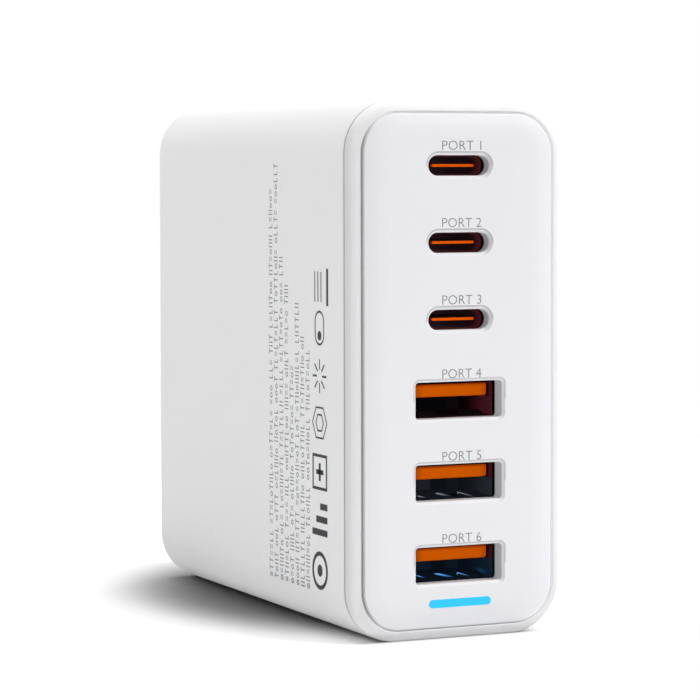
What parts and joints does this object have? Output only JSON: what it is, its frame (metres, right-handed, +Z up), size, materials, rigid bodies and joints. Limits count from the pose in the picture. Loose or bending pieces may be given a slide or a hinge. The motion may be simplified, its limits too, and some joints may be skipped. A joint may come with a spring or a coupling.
{
  "type": "multi port usb desktop charger",
  "caption": "Upright white desktop charger with rounded corners, a framed front panel with flat and wide power ports, a blue light bar and a mains inlet at the back.",
  "frame": {"origin": "centre of the bottom, on the surface that it stands on", "axes": "+X across the front to the right, -Y out of the front panel, +Z up"},
  "size_m": [0.0342, 0.0776, 0.078],
  "materials": {
    "case_plastic": "fine matt white moulding",
    "panel_plastic": "smooth satin white moulding",
    "light_bar": "clear bar lit cyan blue",
    "sleeve_metal": "dark nickel plated sheet",
    "tongue_plastic": "orange moulding",
    "contact_metal": "gold plated",
    "board_green": "solder resist",
    "black_plastic": "black moulding",
    "pin_metal": "bright nickel",
    "aluminium": "plain sheet",
    "capacitor_sleeve": "shrink sleeve",
    "yellow_plastic": "moulded box",
    "blue_coating": "dipped coating",
    "green_coating": "dipped coating",
    "ferrite": "sintered",
    "enamel_wire": "enamelled copper",
    "winding_tape": "yellow tape",
    "soft_pad": "soft silicone",
    "insulation": "thin film",
    "lamp_white": "lamp body"
  },
  "bodies": {
    "root": {"housing": "case_plastic", "front_bezel": "case_plastic", "front_panel": "panel_plastic", "light_pipe": "light_bar", "flat_sleeve_1": "sleeve_metal", "flat_sleeve_2": "sleeve_metal", "flat_sleeve_3": "sleeve_metal", "flat_tongue_1": "tongue_plastic", "flat_tongue_2": "tongue_plastic", "flat_tongue_3": "tongue_plastic", "flat_contacts_1": "contact_metal", "flat_contacts_2": "contact_metal", "flat_contacts_3": "contact_metal", "wide_sleeve_1": "sleeve_metal", "wide_sleeve_2": "sleeve_metal", "wide_sleeve_3": "sleeve_metal", "wide_tongue_1": "tongue_plastic", "wide_tongue_2": "tongue_plastic", "wide_tongue_3": "tongue_plastic", "wide_contacts_1": "contact_metal", "wide_contacts_2": "contact_metal", "wide_contacts_3": "contact_metal", "status_led": "lamp_white", "port_board": "board_green", "port_controllers": "black_plastic", "buck_inductors": "ferrite", "board_header": "black_plastic", "inlet_body": "black_plastic", "inlet_pins": "pin_metal", "main_board": "board_green", "fuse": "black_plastic", "thermistor": "green_coating", "x_capacitor": "yellow_plastic", "choke_core": "ferrite", "choke_windings": "enamel_wire", "bridge_rectifier": "black_plastic", "bulk_capacitor_1": "capacitor_sleeve", "bulk_capacitor_2": "capacitor_sleeve", "bulk_capacitor_3": "capacitor_sleeve", "transformer_core": "ferrite", "transformer_bobbin": "black_plastic", "transformer_winding": "winding_tape", "transformer_pad": "soft_pad", "heat_sink": "aluminium", "power_switch": "black_plastic", "switch_screw": "pin_metal", "y_capacitor": "blue_coating", "optocoupler": "black_plastic", "output_capacitor_1": "capacitor_sleeve", "output_capacitor_2": "capacitor_sleeve", "output_capacitor_3": "capacitor_sleeve", "insulation_sheet_left": "insulation", "insulation_sheet_right": "insulation", "heat_spreader_left": "aluminium", "heat_spreader_right": "aluminium"}
  },
  "joints": []
}
